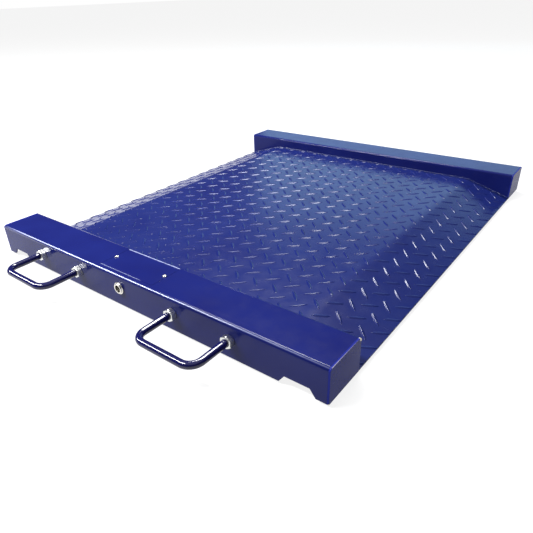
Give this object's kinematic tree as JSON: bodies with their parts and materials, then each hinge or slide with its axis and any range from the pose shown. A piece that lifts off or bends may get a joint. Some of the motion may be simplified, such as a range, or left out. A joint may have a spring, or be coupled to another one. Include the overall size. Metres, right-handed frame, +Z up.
{
  "type": "pallet scale",
  "caption": "Low platform scale with a raised-pattern deck and two ramps between box rails, load-cell feet, lifting handles and a flush junction cover.",
  "frame": {"origin": "centre of the whole object's footprint, on the floor under the feet", "axes": "+X along the rails to the right-hand ramp, +Y from the handles' rail to the wheels' rail, +Z up"},
  "size_m": [1, 1.378, 0.0846],
  "materials": {
    "blue_paint": "gloss enamel",
    "deck_paint": "gloss enamel on raised-pattern plate",
    "handle_paint": "gloss enamel",
    "zinc": "zinc plated",
    "screw_steel": "satin stainless",
    "nickel": "satin nickel",
    "insert_black": "moulded",
    "box_plastic": "moulded grey",
    "board_green": "solder mask",
    "terminal_green": "moulded",
    "gland_black": "moulded nylon",
    "cable_jacket": "extruded",
    "cell_steel": "nickel-plated alloy steel",
    "bolt_black": "black oxide",
    "pad_rubber": "moulded",
    "hub_nylon": "moulded nylon",
    "tyre_rubber": "moulded"
  },
  "bodies": {
    "platform": {"front_rail": "blue_paint", "rear_rail": "blue_paint", "deck_plate": "deck_paint", "ramp_ribs_left": "blue_paint", "ramp_ribs_right": "blue_paint", "cable_conduit": "blue_paint", "left_handle": "handle_paint", "right_handle": "handle_paint", "handle_outer_nuts": "zinc", "handle_inner_nuts": "zinc", "access_cover": "blue_paint", "cover_frame": "blue_paint", "cover_screws": "screw_steel", "junction_tray": "blue_paint", "junction_box_body": "box_plastic", "junction_box_lid": "box_plastic", "junction_box_screws": "screw_steel", "junction_board": "board_green", "terminal_blocks": "terminal_green", "cable_glands": "gland_black", "socket_shell": "nickel", "socket_insert": "insert_black", "socket_nut": "nickel", "cell_mount_blocks": "blue_paint", "load_cell_bolts": "bolt_black", "foot_lock_nuts": "zinc", "wheel_axles": "zinc", "wheel_axle_nuts": "zinc", "bracket_bolts": "zinc", "front_left_end_plate": "blue_paint", "load_cell_front_left": "cell_steel", "front_right_end_plate": "blue_paint", "load_cell_front_right": "cell_steel", "rear_left_end_plate": "blue_paint", "load_cell_rear_left": "cell_steel", "rear_right_end_plate": "blue_paint", "load_cell_rear_right": "cell_steel", "crossbar_left": "blue_paint", "crossbar_middle": "blue_paint", "crossbar_right": "blue_paint", "wheel_bracket_left": "zinc", "wheel_bracket_right": "zinc", "cable_front_left": "cable_jacket", "cable_front_right": "cable_jacket", "cable_rear_left": "cable_jacket", "cable_rear_right": "cable_jacket", "cable_output": "cable_jacket"},
    "foot_front_left": {"foot_stud_front_left": "zinc", "foot_pad_front_left": "pad_rubber"},
    "foot_front_right": {"foot_stud_front_right": "zinc", "foot_pad_front_right": "pad_rubber"},
    "foot_rear_left": {"foot_stud_rear_left": "zinc", "foot_pad_rear_left": "pad_rubber"},
    "foot_rear_right": {"foot_stud_rear_right": "zinc", "foot_pad_rear_right": "pad_rubber"},
    "wheel_left": {"wheel_hub_left": "hub_nylon", "wheel_tyre_left": "tyre_rubber"},
    "wheel_right": {"wheel_hub_right": "hub_nylon", "wheel_tyre_right": "tyre_rubber"}
  },
  "joints": [
    {"name": "level_front_left", "type": "slide", "parent": "platform", "child": "foot_front_left", "axis": [0, 0, -1], "range_m": [-0.004, 0.008]},
    {"name": "level_front_right", "type": "slide", "parent": "platform", "child": "foot_front_right", "axis": [0, 0, -1], "range_m": [-0.004, 0.008]},
    {"name": "level_rear_left", "type": "slide", "parent": "platform", "child": "foot_rear_left", "axis": [0, 0, -1], "range_m": [-0.004, 0.008]},
    {"name": "level_rear_right", "type": "slide", "parent": "platform", "child": "foot_rear_right", "axis": [0, 0, -1], "range_m": [-0.004, 0.008]},
    {"name": "roll_left", "type": "hinge", "parent": "platform", "child": "wheel_left", "pos_m": [-0.32, 0.659, 0.0345], "axis": [1, 0, 0], "continuous": true},
    {"name": "roll_right", "type": "hinge", "parent": "platform", "child": "wheel_right", "pos_m": [0.32, 0.659, 0.0345], "axis": [1, 0, 0], "continuous": true}
  ]
}
